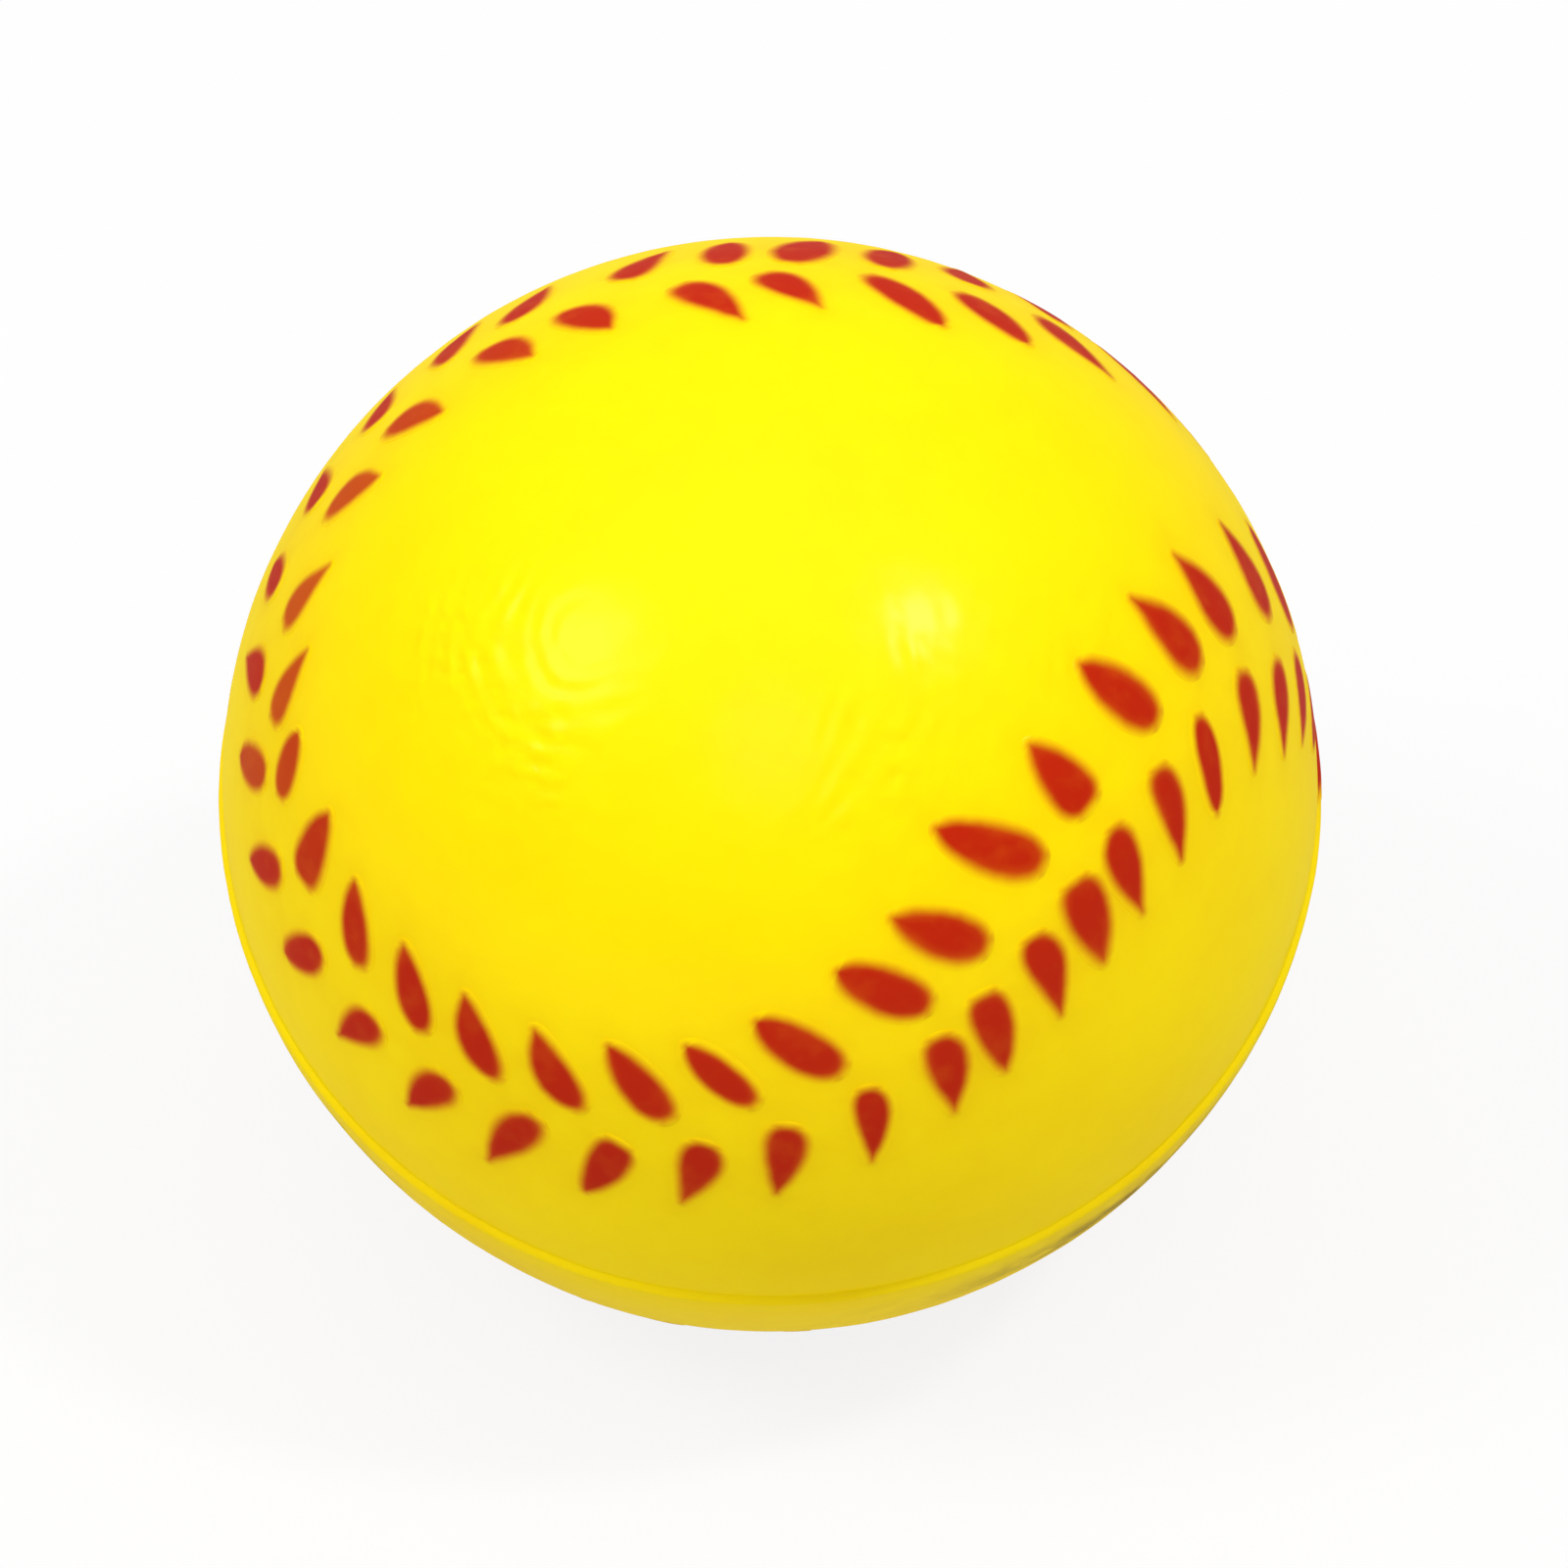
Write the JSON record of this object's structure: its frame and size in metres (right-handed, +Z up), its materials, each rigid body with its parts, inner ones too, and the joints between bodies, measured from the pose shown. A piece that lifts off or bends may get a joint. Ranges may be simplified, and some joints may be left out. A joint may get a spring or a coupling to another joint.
{
  "type": "foam training baseball",
  "caption": "Soft yellow foam ball with a moulded skin and two rows of slanted red stitch marks along a figure-eight seam, for throwing and catching practice.",
  "frame": {"origin": "middle of the small flat that the ball rests on", "axes": "+Z up, away from the rest; -Y towards the camera of the picture, which looks down at about 40 degrees"},
  "size_m": [0.0722, 0.0722, 0.0716],
  "materials": {
    "foam": "open-cell foam, matte",
    "skin": "satin moulded skin",
    "stitch_paint": "sprayed paint"
  },
  "bodies": {
    "root": {"foam_core": "foam", "skin_upper_half": "skin", "skin_lower_half": "skin", "stitch_row_a_01": "stitch_paint", "stitch_row_a_02": "stitch_paint", "stitch_row_a_03": "stitch_paint", "stitch_row_a_04": "stitch_paint", "stitch_row_a_05": "stitch_paint", "stitch_row_a_06": "stitch_paint", "stitch_row_a_07": "stitch_paint", "stitch_row_a_08": "stitch_paint", "stitch_row_a_09": "stitch_paint", "stitch_row_a_10": "stitch_paint", "stitch_row_a_11": "stitch_paint", "stitch_row_a_12": "stitch_paint", "stitch_row_a_13": "stitch_paint", "stitch_row_a_14": "stitch_paint", "stitch_row_a_15": "stitch_paint", "stitch_row_a_16": "stitch_paint", "stitch_row_a_17": "stitch_paint", "stitch_row_a_18": "stitch_paint", "stitch_row_a_19": "stitch_paint", "stitch_row_a_20": "stitch_paint", "stitch_row_a_21": "stitch_paint", "stitch_row_a_22": "stitch_paint", "stitch_row_b_01": "stitch_paint", "stitch_row_b_02": "stitch_paint", "stitch_row_b_03": "stitch_paint", "stitch_row_b_04": "stitch_paint", "stitch_row_b_05": "stitch_paint", "stitch_row_b_06": "stitch_paint", "stitch_row_b_07": "stitch_paint", "stitch_row_b_08": "stitch_paint", "stitch_row_b_09": "stitch_paint", "stitch_row_b_10": "stitch_paint", "stitch_row_b_11": "stitch_paint", "stitch_row_b_12": "stitch_paint", "stitch_row_b_13": "stitch_paint", "stitch_row_b_14": "stitch_paint", "stitch_row_b_15": "stitch_paint", "stitch_row_b_16": "stitch_paint", "stitch_row_b_17": "stitch_paint", "stitch_row_b_18": "stitch_paint", "stitch_row_b_19": "stitch_paint", "stitch_row_b_20": "stitch_paint", "stitch_row_b_21": "stitch_paint", "stitch_row_b_22": "stitch_paint"}
  },
  "joints": []
}
